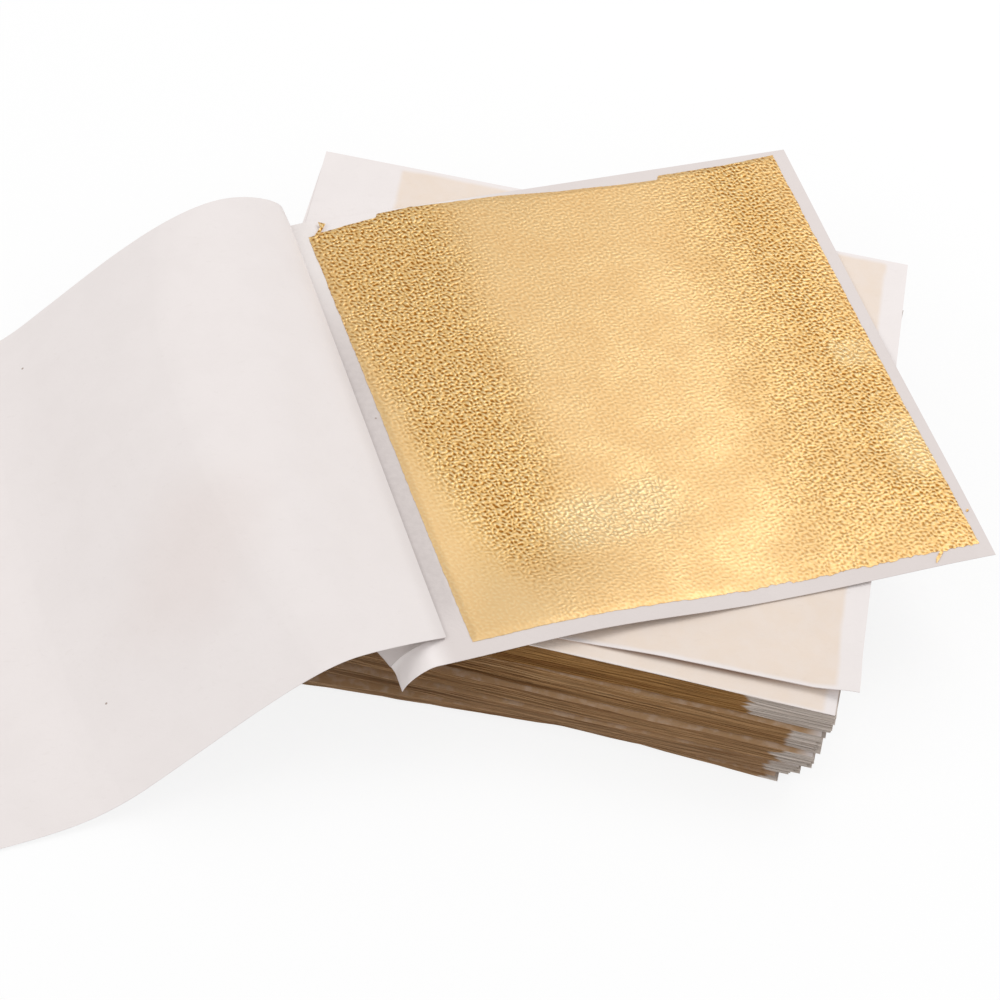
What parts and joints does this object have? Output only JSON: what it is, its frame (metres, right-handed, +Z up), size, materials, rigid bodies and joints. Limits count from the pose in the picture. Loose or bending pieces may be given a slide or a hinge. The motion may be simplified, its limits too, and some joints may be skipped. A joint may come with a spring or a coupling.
{
  "type": "gold leaf packet stack",
  "caption": "Loose pile of thin tissue packets, each holding one square of gold leaf; the uppermost is open, its cover sheet turned back off the bare leaf.",
  "frame": {"origin": "centre of the lowest packet's underside, on the surface the pile lies on", "axes": "+Z up out of the pile, +X along the lowest packet's long side towards its leaf's narrow margin, +Y to the back"},
  "size_m": [0.1823, 0.1612, 0.0232],
  "materials": {
    "tissue": "thin translucent white tissue",
    "glued_tissue": "tissue stiff with dried glue",
    "gold_leaf": "beaten leaf, finely wrinkled, bright"
  },
  "bodies": {
    "base_packets": {"base_backing_tissues": "tissue", "base_gold_leaves": "gold_leaf", "base_cover_tissues": "tissue"},
    "lower_packets": {"lower_backing_tissues": "tissue", "lower_gold_leaves": "gold_leaf", "lower_cover_tissues": "tissue"},
    "middle_packets": {"middle_backing_tissues": "tissue", "middle_gold_leaves": "gold_leaf", "middle_cover_tissues": "tissue"},
    "turned_packets": {"turned_backing_tissues": "tissue", "turned_gold_leaves": "gold_leaf", "turned_cover_tissues": "tissue"},
    "second_packet": {"second_backing_tissue": "tissue", "second_gold_leaf": "gold_leaf", "second_cover_tissue": "tissue"},
    "top_packet": {"top_backing_tissue": "tissue", "top_gold_leaf": "gold_leaf", "top_cover_tissue": "tissue"},
    "open_packet": {"open_backing_tissue": "tissue", "open_glued_margin": "glued_tissue", "leaf_crumbs": "gold_leaf"},
    "bare_leaf": {"open_gold_leaf": "gold_leaf"},
    "open_cover": {"open_cover_tissue": "tissue"}
  },
  "joints": [
    {"name": "lower_lift", "type": "slide", "parent": "base_packets", "child": "lower_packets", "axis": [0, 0, 1], "range_m": [0, 0.04]},
    {"name": "middle_lift", "type": "slide", "parent": "lower_packets", "child": "middle_packets", "axis": [0, 0, 1], "range_m": [0, 0.04]},
    {"name": "turned_lift", "type": "slide", "parent": "middle_packets", "child": "turned_packets", "axis": [0, 0, 1], "range_m": [0, 0.04]},
    {"name": "second_lift", "type": "slide", "parent": "turned_packets", "child": "second_packet", "axis": [0, 0, 1], "range_m": [0, 0.04]},
    {"name": "top_lift", "type": "slide", "parent": "second_packet", "child": "top_packet", "axis": [0, 0, 1], "range_m": [0, 0.04]},
    {"name": "open_lift", "type": "slide", "parent": "top_packet", "child": "open_packet", "axis": [0, 0, 1], "range_m": [0, 0.04]},
    {"name": "leaf_lift", "type": "slide", "parent": "open_packet", "child": "bare_leaf", "axis": [0, 0, 1], "range_m": [0, 0.03]},
    {"name": "cover_turn", "type": "hinge", "parent": "open_packet", "child": "open_cover", "pos_m": [-0.0217, -0.00975, 0.01729], "axis": [-0.4772, 0.8788, 0], "range_deg": [0, 180], "deforming": ["open_cover_tissue"]}
  ]
}
